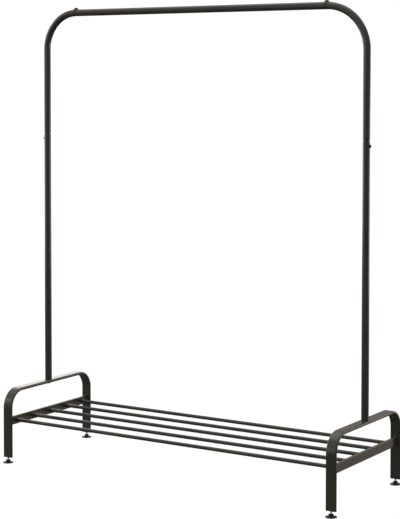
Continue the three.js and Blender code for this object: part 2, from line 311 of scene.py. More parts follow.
# ---------------------------------------------------------------- materials
def powder_coat(name, base, rough=0.38, grain=1.0, spec=0.5, coat=0.25):
    """Satin powder coat: fine orange peel, mottled gloss, rubbed corners."""
    m = bpy.data.materials.new(name)
    m.use_nodes = True
    nt = m.node_tree
    nd, lk = nt.nodes, nt.links
    bsdf = nd["Principled BSDF"]
    tc = nd.new("ShaderNodeTexCoord")

    def noise(scale, detail, rough_=0.55, dist=0.0):
        n = nd.new("ShaderNodeTexNoise")
        n.inputs["Scale"].default_value = scale
        n.inputs["Detail"].default_value = detail
        n.inputs["Roughness"].default_value = rough_
        n.inputs["Distortion"].default_value = dist
        lk.new(tc.outputs["Object"], n.inputs["Vector"])
        return n

    def ramp(src, p0, p1, c0, c1):
        r = nd.new("ShaderNodeValToRGB")
        r.color_ramp.elements[0].position = p0
        r.color_ramp.elements[1].position = p1
        r.color_ramp.elements[0].color = (*c0, 1)
        r.color_ramp.elements[1].color = (*c1, 1)
        lk.new(src, r.inputs["Fac"])
        return r

    broad = noise(9.0, 3.0)
    mottle = noise(140.0, 4.0, 0.6)
    peel = noise(950.0, 2.0, 0.5)
    fleck = noise(2600.0, 1.0, 0.5)

    b = np.array(base)
    col = ramp(broad.outputs["Fac"], 0.32, 0.70, tuple(b * 0.86), tuple(b * 1.16))
    speck = ramp(fleck.outputs["Fac"], 0.60, 0.78, (0, 0, 0), (1, 1, 1))
    mix = nd.new("ShaderNodeMix")
    mix.data_type = "RGBA"
    mix.blend_type = "MIX"
    lk.new(speck.outputs["Color"], mix.inputs["Factor"])
    lk.new(col.outputs["Color"], mix.inputs["A"])
    mix.inputs["B"].default_value = (*(b * 1.30), 1)

    # rubbed edges, where the surface is sharply convex
    geo = nd.new("ShaderNodeNewGeometry")
    edge = ramp(geo.outputs["Pointiness"], 0.545, 0.62, (0, 0, 0), (1, 1, 1))
    wearmix = nd.new("ShaderNodeMath")
    wearmix.operation = "MULTIPLY"
    worn = ramp(mottle.outputs["Fac"], 0.42, 0.62, (0, 0, 0), (1, 1, 1))
    lk.new(edge.outputs["Color"], wearmix.inputs[0])
    lk.new(worn.outputs["Color"], wearmix.inputs[1])
    mix2 = nd.new("ShaderNodeMix")
    mix2.data_type = "RGBA"
    lk.new(wearmix.outputs[0], mix2.inputs["Factor"])
    lk.new(mix.outputs["Result"], mix2.inputs["A"])
    mix2.inputs["B"].default_value = (*(b * 2.6 + 0.012), 1)

    # painted shade: the swaged necks are coloured near-black to stand in for the shadow in the joint's seam, masked by
    # an attribute on the mesh
    neck = nd.new("ShaderNodeAttribute")
    neck.attribute_name = "painted_seam_shade"
    seam_shade_mix = nd.new("ShaderNodeMix")
    seam_shade_mix.data_type = "RGBA"
    lk.new(neck.outputs["Fac"], seam_shade_mix.inputs["Factor"])
    lk.new(mix2.outputs["Result"], seam_shade_mix.inputs["A"])
    # painted shade: near-black base colour for the seam's shadow
    seam_shade_mix.inputs["B"].default_value = (*(b * 0.12), 1)
    lk.new(seam_shade_mix.outputs["Result"], bsdf.inputs["Base Color"])

    rr = nd.new("ShaderNodeMapRange")
    rr.inputs["From Min"].default_value = 0.3
    rr.inputs["From Max"].default_value = 0.7
    rr.inputs["To Min"].default_value = rough - 0.045
    rr.inputs["To Max"].default_value = rough + 0.055
    lk.new(mottle.outputs["Fac"], rr.inputs["Value"])
    lk.new(rr.outputs["Result"], bsdf.inputs["Roughness"])

    bump1 = nd.new("ShaderNodeBump")
    bump1.inputs["Strength"].default_value = 0.10 * grain
    bump1.inputs["Distance"].default_value = 0.00012
    lk.new(peel.outputs["Fac"], bump1.inputs["Height"])
    bump2 = nd.new("ShaderNodeBump")
    bump2.inputs["Strength"].default_value = 0.07 * grain
    bump2.inputs["Distance"].default_value = 0.0004
    lk.new(mottle.outputs["Fac"], bump2.inputs["Height"])
    lk.new(bump1.outputs["Normal"], bump2.inputs["Normal"])
    lk.new(bump2.outputs["Normal"], bsdf.inputs["Normal"])
    bsdf.inputs["Metallic"].default_value = 0.0
    bsdf.inputs["Specular IOR Level"].default_value = spec
    bsdf.inputs["Coat Weight"].default_value = coat
    bsdf.inputs["Coat Roughness"].default_value = 0.28
    return m


def metal(name, base, rough, brush=0.0, tint=(1.0, 1.0, 1.0)):
    """Plated or oxide steel: turned streaks, small pits, tinted stains."""
    m = bpy.data.materials.new(name)
    m.use_nodes = True
    nt = m.node_tree
    nd, lk = nt.nodes, nt.links
    bsdf = nd["Principled BSDF"]
    tc = nd.new("ShaderNodeTexCoord")
    mp = nd.new("ShaderNodeMapping")
    mp.inputs["Scale"].default_value = (60, 60, 2400) if brush else (400, 400, 400)
    lk.new(tc.outputs["Object"], mp.inputs["Vector"])
    n1 = nd.new("ShaderNodeTexNoise")
    n1.inputs["Scale"].default_value = 1.0
    n1.inputs["Detail"].default_value = 4.0
    lk.new(mp.outputs["Vector"], n1.inputs["Vector"])
    n2 = nd.new("ShaderNodeTexNoise")
    n2.inputs["Scale"].default_value = 260.0
    n2.inputs["Detail"].default_value = 5.0
    lk.new(tc.outputs["Object"], n2.inputs["Vector"])
    r = nd.new("ShaderNodeValToRGB")
    r.color_ramp.elements[0].position = 0.3
    r.color_ramp.elements[1].position = 0.72
    b = np.array(base)
    r.color_ramp.elements[0].color = (*(b * 0.72 * np.array(tint)), 1)
    r.color_ramp.elements[1].color = (*np.clip(b * 1.1, 0, 1), 1)
    lk.new(n2.outputs["Fac"], r.inputs["Fac"])
    lk.new(r.outputs["Color"], bsdf.inputs["Base Color"])
    rr = nd.new("ShaderNodeMapRange")
    rr.inputs["From Min"].default_value = 0.3
    rr.inputs["From Max"].default_value = 0.7
    rr.inputs["To Min"].default_value = rough - 0.08
    rr.inputs["To Max"].default_value = rough + 0.10
    lk.new(n2.outputs["Fac"], rr.inputs["Value"])
    lk.new(rr.outputs["Result"], bsdf.inputs["Roughness"])
    bump = nd.new("ShaderNodeBump")
    bump.inputs["Strength"].default_value = 0.25
    bump.inputs["Distance"].default_value = 0.00006
    lk.new(n1.outputs["Fac"], bump.inputs["Height"])
    lk.new(bump.outputs["Normal"], bsdf.inputs["Normal"])
    bsdf.inputs["Metallic"].default_value = 1.0
    return m


def moulded(name, base, rough):
    """Moulded black plastic: spark-eroded grain, flow mottle, pale scuffs on the high edges."""
    m = bpy.data.materials.new(name)
    m.use_nodes = True
    nt = m.node_tree
    nd, lk = nt.nodes, nt.links
    bsdf = nd["Principled BSDF"]
    tc = nd.new("ShaderNodeTexCoord")
    vor = nd.new("ShaderNodeTexVoronoi")
    vor.inputs["Scale"].default_value = 1500.0
    lk.new(tc.outputs["Object"], vor.inputs["Vector"])
    n2 = nd.new("ShaderNodeTexNoise")
    n2.inputs["Scale"].default_value = 120.0
    n2.inputs["Detail"].default_value = 4.0
    lk.new(tc.outputs["Object"], n2.inputs["Vector"])
    b = np.array(base)
    r = nd.new("ShaderNodeValToRGB")
    r.color_ramp.elements[0].position = 0.3
    r.color_ramp.elements[1].position = 0.75
    r.color_ramp.elements[0].color = (*(b * 0.8), 1)
    r.color_ramp.elements[1].color = (*(b * 1.45), 1)
    lk.new(n2.outputs["Fac"], r.inputs["Fac"])
    geo = nd.new("ShaderNodeNewGeometry")
    e = nd.new("ShaderNodeValToRGB")
    e.color_ramp.elements[0].position = 0.54
    e.color_ramp.elements[1].position = 0.64
    e.color_ramp.elements[0].color = (0, 0, 0, 1)
    e.color_ramp.elements[1].color = (0.6, 0.6, 0.6, 1)
    lk.new(geo.outputs["Pointiness"], e.inputs["Fac"])
    mix = nd.new("ShaderNodeMix")
    mix.data_type = "RGBA"
    lk.new(e.outputs["Color"], mix.inputs["Factor"])
    lk.new(r.outputs["Color"], mix.inputs["A"])
    mix.inputs["B"].default_value = (*(b * 2.6 + 0.01), 1)
    lk.new(mix.outputs["Result"], bsdf.inputs["Base Color"])
    rr = nd.new("ShaderNodeMapRange")
    rr.inputs["To Min"].default_value = rough - 0.08
    rr.inputs["To Max"].default_value = rough + 0.12
    lk.new(n2.outputs["Fac"], rr.inputs["Value"])
    lk.new(rr.outputs["Result"], bsdf.inputs["Roughness"])
    bump = nd.new("ShaderNodeBump")
    bump.inputs["Strength"].default_value = 0.3
    bump.inputs["Distance"].default_value = 0.00008
    lk.new(vor.outputs["Distance"], bump.inputs["Height"])
    lk.new(bump.outputs["Normal"], bsdf.inputs["Normal"])
    bsdf.inputs["Specular IOR Level"].default_value = 0.36
    return m


PAINT = powder_coat("powder_coat_black", (0.0355, 0.0300, 0.0215), rough=0.22, coat=0.0)
PAINT_BAR = powder_coat("powder_coat_bars", (0.0340, 0.0290, 0.0210), rough=0.24, coat=0.0)
BLACK_OXIDE = metal("black_oxide_steel", (0.035, 0.034, 0.034), 0.36)
ZINC = metal("zinc_plate", (0.60, 0.59, 0.57), 0.30, tint=(1.0, 0.97, 0.9))
ZINC_STUD = metal("zinc_thread", (0.62, 0.60, 0.58), 0.28, brush=1, tint=(1.0, 0.95, 0.88))
PLASTIC = moulded("moulded_black", (0.0110, 0.0106, 0.0102), 0.50)
PLASTIC_PLUG = moulded("plug_black", (0.0115, 0.0110, 0.0105), 0.52)


def piece(obj, body, slot, *nodes):
    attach(obj, body)
    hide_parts(*nodes)
    return obj


# ---------------------------------------------------------------- round tubes
ROUND = round_section(72)
WALL = 1.2
TUBE = lambda d, r: ROUND(d, TUBE_R)


def tube_on(name, path, neck0=None, neck1=None, step=80.0, arc=3.5):
    """Round tube on a path. neck0 or neck1 is the swaged end's (length, tip radius, mouth radius, bore radius)."""
    L = path.length
    outer = []
    inner_end = []
    st = path.stations(2.0, L - 2.0, arc, step)
    # start end
    if neck0 is None:
        m = lip(0.0, 0.0, WALL, sign=-1)
        start_outer, start_inner = list(reversed(m[:4])), list(reversed(m[4:]))
    else:
        ln, tip, mouth, bore = neck0
        # bore of the tube narrows into the neck's bore, over its tip, back to the shoulder
        start_inner = [(3.0, WALL), (1.2, TUBE_R - bore - 0.25), (0.0, TUBE_R - bore), (-ln + 0.4, TUBE_R - bore), (-ln, TUBE_R - bore - 0.25)]
        start_outer = [(-ln, TUBE_R - tip + 0.3), (-ln + 0.35, TUBE_R - tip), (-ln * 0.45, TUBE_R - (tip * 0.45 + mouth * 0.55)),
                       (-0.9, TUBE_R - mouth), (-0.25, TUBE_R - mouth - 0.05), (0.0, TUBE_R - mouth - 0.35), (0.05, 0.62), (0.22, 0.22), (0.6, 0.03), (1.1, 0.0)]
    if neck1 is None:
        m = lip(L, 0.0, WALL, sign=1)
        end_seq = m
    else:
        ln, tip, mouth, bore = neck1
        end_seq = [(L - 1.1, 0.0), (L - 0.6, 0.03), (L - 0.22, 0.22), (L - 0.05, 0.62), (L, TUBE_R - mouth - 0.35), (L + 0.25, TUBE_R - mouth - 0.05),
                   (L + 0.9, TUBE_R - mouth), (L + ln * 0.45, TUBE_R - (tip * 0.45 + mouth * 0.55)), (L + ln - 0.35, TUBE_R - tip), (L + ln, TUBE_R - tip + 0.3),
                   (L + ln, TUBE_R - bore - 0.25), (L + ln - 0.4, TUBE_R - bore), (L, TUBE_R - bore), (L - 1.2, TUBE_R - bore - 0.25), (L - 3.0, WALL)]
    profile = start_outer + [(s, 0.0) for s in st] + end_seq + [(s, WALL) for s in reversed(st) if 3.2 < s < L - 3.2] + start_inner
    return shell_on_path(path, profile, lambda d, r: ROUND(d, TUBE_R))


def hole(at, axis, r=3.3, length=24.0):
    return rod(r, 0.0, length, 32, axis, at)


SHORT = (15.0, TUBE_R - 2.75, TUBE_R - 1.6, TUBE_R - 3.3)
LONG = (44.0, TUBE_R - 1.5, TUBE_R - 1.5, TUBE_R - 2.7)

def paint_seam_shade(obj, x):
    """Mark the part of a tube that lies left of x, which slips into its neighbour: the paint turns it near-black as
    painted shade for the seam.
    """
    at = obj.data.attributes.new("painted_seam_shade", "FLOAT", "POINT")
    for v in obj.data.vertices:
        at.data[v.index].value = 1.0 if v.co.x < (x - 0.2) * MM else 0.0


# hanging rail: stations run from the swaged left end to the plain right end
_path = Path([(-JOINT_X["left"] + SEAM, 0, RAIL_Z), (JOINT_X["right"] - SEAM, 0, RAIL_Z)], [], (0, 1, 0))
rail = new_object("hanging_rail", *tube_on("hanging_rail", _path, neck0=SHORT), PAINT)
cut(rail, hole((-JOINT_X["left"], 0, RAIL_Z), "Z"), hole((JOINT_X["right"], 0, RAIL_Z), "Z"))
# painted shade: the rail's swaged neck is darkened to stand in for the seam's shadow
paint_seam_shade(rail, -JOINT_X["left"] + SEAM)
piece(rail, "rack", "frame_paint", "top_rail")

for side, sx in SIDES.items():
    path = Path([(sx * HALF, 0, UPPER_LOW), (sx * HALF, 0, RAIL_Z), (sx * (JOINT_X[side] + SEAM), 0, RAIL_Z)], [BEND_R[side] - SEAM - 0.05], (0, 1, 0))
    neck_top = SHORT if side == "right" else None
    up = new_object(f"corner_post_{side}", *tube_on("t", path, neck0=LONG, neck1=neck_top), PAINT)
    cut(up, hole((sx * HALF, 0, SCREW_Z), "X" if sx > 0 else "-X"), hole((sx * JOINT_X[side], 0, RAIL_Z), "Z"))
    if side == "right":
        # painted shade: the corner's swaged neck is darkened to stand in for the seam's shadow
        paint_seam_shade(up, JOINT_X["right"] + SEAM)
    piece(up, "rack", "frame_paint", f"upper_post_{side}")

    path = Path([(sx * HALF, 0, POST_LOW), (sx * HALF, 0, POST_MID)], [], (0, 1, 0))
    low = new_object(f"base_post_{side}", *tube_on("t", path), PAINT)
    cut(low, hole((sx * HALF, 0, SCREW_Z), "X" if sx > 0 else "-X"))
    piece(low, "rack", "frame_paint", f"lower_post_{side}")

# ---------------------------------------------------------------- end frames
OVAL = rounded_rect(OVAL_T, OVAL_W, 4.0, 8)
for side, sx in SIDES.items():
    zt = FRAME_TOP - OVAL_T / 2
    path = Path([(sx * HALF, -LEG_Y, LEG_LOW), (sx * HALF, -LEG_Y, zt), (sx * HALF, LEG_Y, zt), (sx * HALF, LEG_Y, LEG_LOW)], [57.0, 57.0], (1, 0, 0))
    st = path.stations(1.0, path.length - 1.0, 3.2, 30.0)
    wall = 1.0
    m0, m1 = lip(0.0, 0.0, wall, r=0.4, sign=-1), lip(path.length, 0.0, wall, r=0.4, sign=1)
    prof = list(reversed(m0[:4])) + [(s, 0.0) for s in st] + m1 + [(s, wall) for s in reversed(st)] + list(reversed(m0[4:]))
    fr = new_object(f"bent_frame_{side}", *shell_on_path(path, prof, OVAL), PAINT)
    cut(fr, rod(4.4, FRAME_TOP - OVAL_T - 5, FRAME_TOP + 5, 32, "Z", (sx * HALF, 0, 0)))
    piece(fr, "rack", "frame_paint", f"end_frame_{side}")


# ---------------------------------------------------------------- shoe shelf, with its weld beads
def weld_ring(outline, normal, depth_dir, at, size=1.5, seed=0, step=1.1):
    """A rippled fillet bead round an outline (closed list of 2D points) that lies on a flat face.
    normal is not used; at maps (u, v, w) to the row frame."""
    rng = random.Random(seed)
    pts = []
    m = len(outline)
    for i in range(m):
        a, b = np.array(outline[i]), np.array(outline[(i + 1) % m])
        k = max(1, int(round(np.linalg.norm(b - a) / step)))
        for j in range(k):
            pts.append(a + (b - a) * j / k)
    pts = np.array(pts)
    n = len(pts)
    centre = pts.mean(0)
    rings = []
    phase = rng.random() * 6.28
    run = 0.0
    for i in range(n):
        p = pts[i]
        t = pts[(i + 1) % n] - pts[i - 1]
        t /= np.linalg.norm(t) + 1e-9
        out = np.array([t[1], -t[0]])
        if out @ (p - centre) < 0:
            out = -out
        run += step
        s = size * (1 + 0.10 * math.sin(run * 2.1 + phase) + 0.06 * math.sin(run * 0.7 + 1.3 * phase) + 0.05 * (rng.random() - 0.5))
        ring = []
        for (u, w) in ((-0.35, 0.02), (0.98, 0.02), (0.80, 0.22), (0.52, 0.50), (0.22, 0.80), (0.03, 1.0), (-0.35, 0.98)):
            q = p + out * (u * s if u > 0 else u)
            ring.append(at(q[0], q[1], w * s))
        rings.append(ring)
    return loft(rings, loop=True)


RECT = rounded_rect(SHELF_RAIL_H, SHELF_RAIL_T, 1.2, 4)
for side, sx in SIDES.items():
    path = Path([(sx * HALF, -SHELF_RAIL_Y, SHELF_Z), (sx * HALF, SHELF_RAIL_Y, SHELF_Z)], [], (1, 0, 0))
    L = path.length
    st = path.stations(1.0, L - 1.0, 4.0, 18.0)
    m0, m1 = lip(0.0, 0.0, 1.2, r=0.3, sign=-1), lip(L, 0.0, 1.2, r=0.3, sign=1)
    prof = list(reversed(m0[:4])) + [(s, 0.0) for s in st] + m1 + [(s, 1.2) for s in reversed(st)] + list(reversed(m0[4:]))
    shells = [shell_on_path(path, prof, RECT)]
    outline = [tuple(p) for p in rounded_rect(SHELF_RAIL_T, SHELF_RAIL_H, 1.2, 3)(0.0)]
    for sy in (-1, 1):
        face = sy * (LEG_Y - OVAL_T / 2)
        shells.append(weld_ring(outline, None, None,
                                lambda u, v, w, face=face, sy=sy, sx=sx: (sx * HALF + u, face - sy * w, SHELF_Z + v), 1.5, seed=11 + sx + 3 * sy))
    o = join_shells(f"shelf_side_rail_{side}", shells, PAINT)
    piece(o, "rack", "frame_paint", f"shelf_rail_{side}")

BAR_SECTION = round_section(40)
for i in range(5):
    lo, hi = span(f"shelf_bar_{i + 1}")
    y, z = (lo[1] + hi[1]) / 2, (lo[2] + hi[2]) / 2
    path = Path([(-BAR_X, y, z), (BAR_X, y, z)], [], (0, 1, 0))
    L = path.length
    st = path.stations(1.0, L - 1.0, 4.0, 120.0)
    m0, m1 = lip(0.0, 0.0, 1.0, r=0.25, sign=-1), lip(L, 0.0, 1.0, r=0.25, sign=1)
    prof = list(reversed(m0[:4])) + [(s, 0.0) for s in st] + m1 + [(s, 1.0) for s in reversed(st)] + list(reversed(m0[4:]))
    shells = [shell_on_path(path, prof, lambda d, r: BAR_SECTION(d, BAR_R))]
    outline = [tuple(p) for p in circle(24) * BAR_R]
    for sx in (-1, 1):
        face = sx * (HALF - SHELF_RAIL_T / 2)
        shells.append(weld_ring(outline, None, None,
                                lambda u, v, w, face=face, sx=sx, y=y, z=z: (face - sx * w, y + u, z + v), 1.3, seed=40 + i * 2 + sx))
    o = join_shells(f"shelf_cross_bar_{i + 1}", shells, PAINT_BAR)
    piece(o, "rack", "frame_paint", f"shelf_bar_{i + 1}")


# ---------------------------------------------------------------- threads and screws
def threaded(r_major, r_minor, pitch, z0, z1, tip=1.0, n=40, per=10):
    """Closed rod with a real helical thread between z0 and z1, blunt at both ends."""
    steps = int((z1 - z0) / pitch * per)
    rings = []
    a = np.linspace(0, 2 * math.pi, n, endpoint=False)
    for i in range(steps + 1):
        z = z0 + (z1 - z0) * i / steps
        fade = min(1.0, max(0.0, (z1 - z) / tip))
        ph = ((z / pitch) - a / (2 * math.pi)) % 1.0
        tri = 1 - np.abs(2 * ph - 1)
        tri = np.clip((tri - 0.12) / 0.76, 0, 1)
        r = r_minor + (r_major - r_minor) * tri
        r = r * (0.80 + 0.20 * fade) if fade < 1 else r
        rings.append(np.stack([np.cos(a) * r, np.sin(a) * r, np.full(n, z)], 1))
    return loft(rings)


def hexagon(n, across_flats, phase=0.0):
    a = np.linspace(0, 2 * math.pi, n, endpoint=False)
    k = ((a + phase + math.pi / 6) % (math.pi / 3)) - math.pi / 6
    r = (across_flats / 2) / np.cos(k)
    return np.stack([np.cos(a) * r, np.sin(a) * r], 1)


def button_head(n=60, r=5.25, h=3.15, socket=3.9, depth=2.0, collar=0.0):
    """Domed head with a hexagon socket, underside at z = 0, and its shank socket closed below."""
    rings = []
    c = circle(n)
    def add(rr, z):
        rings.append(np.column_stack([c * rr, np.full(n, z)]))
    def hexr(k, z):
        o = hexagon(n, k)
        rings.append(np.column_stack([o, np.full(n, z)]))
    add(2.98, 0.0)
    add(r - 0.35, 0.0)
    add(r - 0.08, 0.10)
    add(r, 0.35)
    add(r, 0.62)
    for t in np.linspace(0.0, 1.0, 11)[1:]:
        ang = t * math.radians(62)
        add(2.75 + (r - 2.75) * math.cos(ang * 90 / 62), 0.62 + (h - 0.62) * math.sin(ang * 90 / 62))
    add(2.55, h)
    # chamfer into the hexagon
    rings.append(np.column_stack([c * 2.36, np.full(n, h - 0.03)]))
    hexr(socket + 0.25, h - 0.28)
    hexr(socket, h - 0.48)
    hexr(socket, h - depth + 0.12)
    hexr(socket - 0.25, h - depth)
    rings.append(np.column_stack([c * 0.9, np.full(n, h - depth - 0.25)]))
    rings.append(np.column_stack([c * 0.25, np.full(n, h - depth - 0.42)]))
    return rings


def screw(name, length=9.6, **head):
    rings = []
    n = 60
    a = np.linspace(0, 2 * math.pi, n, endpoint=False)
    per = 8
    steps = int((length - 0.6) * per)
    for i in range(steps + 1):
        z = -length + (length - 0.6) * i / steps
        fade = min(1.0, (z + length) / 0.9)
        ph = (z - a / (2 * math.pi)) % 1.0
        tri = np.clip((1 - np.abs(2 * ph - 1) - 0.12) / 0.76, 0, 1)
        r = (2.45 + 0.52 * tri) * (0.82 + 0.18 * fade)
        rings.append(np.stack([np.cos(a) * r, np.sin(a) * r, np.full(n, z)], 1))
    rings += button_head(n, **head)
    return loft(rings)


for side, sx in SIDES.items():
    for kind, at, axis in (("post", (sx * (HALF + TUBE_R + 0.3), 0, SCREW_Z), "X" if sx > 0 else "-X"),
                           ("rail", (sx * JOINT_X[side], 0, RAIL_Z + TUBE_R + 1.6), "Z")):
        v, f = place(screw("s", **({"r": 6.7, "h": 3.85} if kind == "rail" else {})), axis, at)
        o = new_object(f"{kind}_button_screw_{side}", v, f, BLACK_OXIDE, smooth=38)
        piece(o, "rack", "screw_black", f"{kind}_screw_{side}")

    # saddle washer: follows the round of the rail
    n, rows = 72, []
    a = np.linspace(0, 2 * math.pi, n, endpoint=False)
    def saddle(rad, lift):
        x, y = np.cos(a) * rad, np.sin(a) * rad
        z = np.sqrt(np.maximum((TUBE_R + lift) ** 2 - y ** 2, 0.0))
        return np.stack([x, y, z], 1)
    def saddle_flat(rad, lift, height):
        s = saddle(rad, lift)
        s[:, 2] = np.minimum(s[:, 2], height)
        return s
    top = TUBE_R + 1.3
    rings = [saddle(3.5, 0.32), saddle(9.5, 0.32), saddle(9.75, 0.45), saddle(9.85, 0.7), saddle_flat(9.7, 1.0, top), saddle_flat(9.1, 1.3, top - 0.05),
             saddle_flat(7.2, 1.5, top), saddle_flat(5.6, 1.5, top), saddle_flat(3.75, 1.5, top), saddle_flat(3.5, 1.45, top - 0.15)]
    v, f = loft(rings, loop=True)
    v = [(p[0] + sx * JOINT_X[side], p[1], p[2] + RAIL_Z) for p in v]
    o = new_object(f"rail_saddle_washer_{side}", v, f, PAINT)
    piece(o, "rack", "washer_paint", f"rail_washer_{side}")

    # base bolt and washer under the end frame
    under = FRAME_TOP - OVAL_T - 0.3
    lo, hi = span(f"base_washer_{side}")
    wash = loft([np.column_stack([circle(56) * r, np.full(56, z)]) for r, z in
                 ((4.3, lo[2] + 0.1), (4.45, lo[2]), (8.75, lo[2]), (9.0, lo[2] + 0.2), (9.0, hi[2] - 0.2), (8.75, hi[2]), (4.45, hi[2]), (4.3, hi[2] - 0.1))], loop=True)
    v, f = place(wash, "Z", (sx * HALF, 0, 0))
    o = new_object(f"washer_under_frame_{side}", v, f, ZINC)
    piece(o, "rack", "zinc_steel", f"base_washer_{side}")
    lo, hi = span(f"base_bolt_{side}")
    n = 60
    rings = []
    a = np.linspace(0, 2 * math.pi, n, endpoint=False)
    zb, zt = lo[2], hi[2]
    c = circle(n)
    rings.append(np.column_stack([c * 0.3, np.full(n, zb + 2.0)]))
    rings.append(np.column_stack([hexagon(n, 4.7), np.full(n, zb + 1.85)]))
    rings.append(np.column_stack([hexagon(n, 5.0), np.full(n, zb + 1.7)]))
    rings.append(np.column_stack([hexagon(n, 5.0), np.full(n, zb + 0.35)]))
    rings.append(np.column_stack([c * 3.0, np.full(n, zb)]))
    for r, z in ((4.2, 0.0), (5.2, 0.25), (5.9, 0.7), (6.35, 1.4), (6.5, 2.1), (6.5, 2.7), (6.35, 2.85), (4.0, 2.85)):
        rings.append(np.column_stack([c * r, np.full(n, zb + z)]))
    z_start = zb + 2.9
    steps = int((zt - z_start) / 1.25 * 9)
    for i in range(steps + 1):
        z = z_start + (zt - z_start) * i / steps
        fade = min(1.0, max(0.0, (zt - z) / 1.0))
        threadin = 1.0 if z > FRAME_TOP - 6 else 0.0
        ph = (z / 1.25 - a / (2 * math.pi)) % 1.0
        tri = np.clip((1 - np.abs(2 * ph - 1) - 0.12) / 0.76, 0, 1)
        r = (3.38 + 0.6 * (tri if threadin else np.ones(n))) * (0.84 + 0.16 * fade)
        rings.append(np.stack([np.cos(a) * r, np.sin(a) * r, np.full(n, z)], 1))
    v, f = place(loft(rings), "Z", (sx * HALF, 0, 0))
    o = new_object(f"bolt_under_frame_{side}", v, f, ZINC, smooth=38)
    piece(o, "rack", "zinc_steel", f"base_bolt_{side}")
    for n_ in (f"post_nut_{side}", f"rail_nut_{side}", f"post_insert_{side}"):
        m = NODES[n_].data.materials
        m.clear()
        m.append(ZINC)

# ---------------------------------------------------------------- leg plugs and levelling feet
for name, (sx, sy) in FEET.items():
    x, y = sx * HALF, sy * LEG_Y
    lo, hi = span(f"leg_plug_{name}")
    z0, z1 = lo[2], hi[2]
    fl = 2.0
    bore = circle(36 + 12) * 3.25
    # outline with the same count as the bore: rounded rectangle resampled by angle
    def ring_of(w, h, r, z, n=96):
        o = rounded_rect(w, h, r, 8)(0.0)
        ang = np.arctan2(o[:, 1], o[:, 0]) % (2 * math.pi)
        order = np.argsort(ang)
        ang, o = ang[order], o[order]
        want = np.linspace(0, 2 * math.pi, n, endpoint=False)
        aa = np.concatenate([ang - 2 * math.pi, ang, ang + 2 * math.pi])
        ox = np.tile(o[:, 0], 3)
        oy = np.tile(o[:, 1], 3)
        return np.column_stack([np.interp(want, aa, ox), np.interp(want, aa, oy), np.full(n, z)])
    def bore_ring(r, z, n=96):
        return np.column_stack([circle(n) * r, np.full(n, z)])
    bw, bh = OVAL_W - 2.6, OVAL_T - 2.6
    rings = [bore_ring(3.6, z0), ring_of(OVAL_W - 1.8, OVAL_T - 1.8, 3.1, z0), ring_of(OVAL_W - 0.6, OVAL_T - 0.6, 3.7, z0 + 0.25), ring_of(OVAL_W, OVAL_T, 4.0, z0 + 0.8),
             ring_of(OVAL_W, OVAL_T, 4.0, z0 + fl - 0.25), ring_of(OVAL_W - 0.4, OVAL_T - 0.4, 3.8, z0 + fl), ring_of(bw, bh, 2.7, z0 + fl),
             ring_of(bw, bh, 2.7, z0 + fl + 4), ring_of(bw - 0.7, bh - 0.3, 2.5, z0 + fl + 4.4), ring_of(bw - 0.7, bh - 0.3, 2.5, z0 + fl + 6),
             ring_of(bw, bh, 2.7, z0 + fl + 6.4), ring_of(bw, bh, 2.7, z0 + fl + 10), ring_of(bw - 0.7, bh - 0.3, 2.5, z0 + fl + 10.4), ring_of(bw - 0.7, bh - 0.3, 2.5, z0 + fl + 12),
             ring_of(bw, bh, 2.7, z0 + fl + 12.4), ring_of(bw, bh, 2.7, z1 - 1.5), ring_of(bw - 1.2, bh - 0.3, 2.4, z1),
             bore_ring(3.3, z1), bore_ring(3.25, z1 - 0.2), bore_ring(3.25, z0 + 0.5)]
    v, f = place(loft(rings, loop=True), "Z", (x, y, 0))
    o = new_object(f"leg_end_plug_{name}", v, f, PLASTIC_PLUG)
    piece(o, "rack", "plug_plastic", f"leg_plug_{name}")

    # round foot: domed top with a raised collar, socket for the stud's head, flat ribbed underside
    n = 96
    prof = [(0.0, 0.6), (5.0, 0.6), (5.6, 0.5), (5.9, 0.0), (8.2, 0.0), (8.5, 0.45), (9.5, 0.45), (9.8, 0.0), (12.4, 0.0), (12.7, 0.45), (13.7, 0.45), (14.0, 0.0), (16.4, 0.0),
            (17.2, 0.15), (17.65, 0.5), (17.78, 0.95), (17.74, 1.55), (17.55, 1.9), (17.1, 2.15), (15.8, 2.75), (14.0, 3.35), (12.0, 3.85), (10.2, 4.15), (9.2, 4.35), (8.75, 4.55),
            (8.45, 4.85), (8.1, 4.98), (5.9, 4.98), (5.45, 4.85), (5.25, 4.6), (5.22, 3.05), (0.0, 3.0)]
    v, f = lathe(prof, n, "Z", (x, y, 0))
    o = new_object(f"round_foot_{name}", v, f, PLASTIC)
    piece(o, f"foot_{name}", "foot_plastic", f"foot_disc_{name}")

    lo, hi = span(f"foot_stud_{name}")
    n = 48
    c = circle(n)
    rings = [np.column_stack([c * r, np.full(n, lo[2] + z)]) for r, z in ((0.4, 0.02), (4.4, 0.02), (4.8, 0.2), (4.85, 0.9), (4.7, 1.25), (3.1, 1.35), (2.9, 1.9), (2.9, 5.2))]
    a = np.linspace(0, 2 * math.pi, n, endpoint=False)
    zs, ze, per = lo[2] + 6.4, hi[2], 10
    steps = int((ze - zs) * per)
    for i in range(steps + 1):
        z = zs + (ze - zs) * i / steps
        fade = min(1.0, max(0.0, (ze - z) / 1.1))
        grow = min(1.0, (z - zs) / 1.2)
        ph = (z - a / (2 * math.pi)) % 1.0
        tri = np.clip((1 - np.abs(2 * ph - 1) - 0.10) / 0.78, 0, 1)
        r = (2.42 + 0.5 * (1 - grow) * 0.9 + (0.5 * grow) * tri) * (0.78 + 0.22 * fade)
        rings.append(np.stack([np.cos(a) * r, np.sin(a) * r, np.full(n, z)], 1))
    v, f = place(loft(rings), "Z", (x, y, 0))
    o = new_object(f"levelling_stud_{name}", v, f, ZINC_STUD, smooth=50)
    piece(o, f"stud_{name}", "foot_stud_zinc", f"foot_stud_{name}")

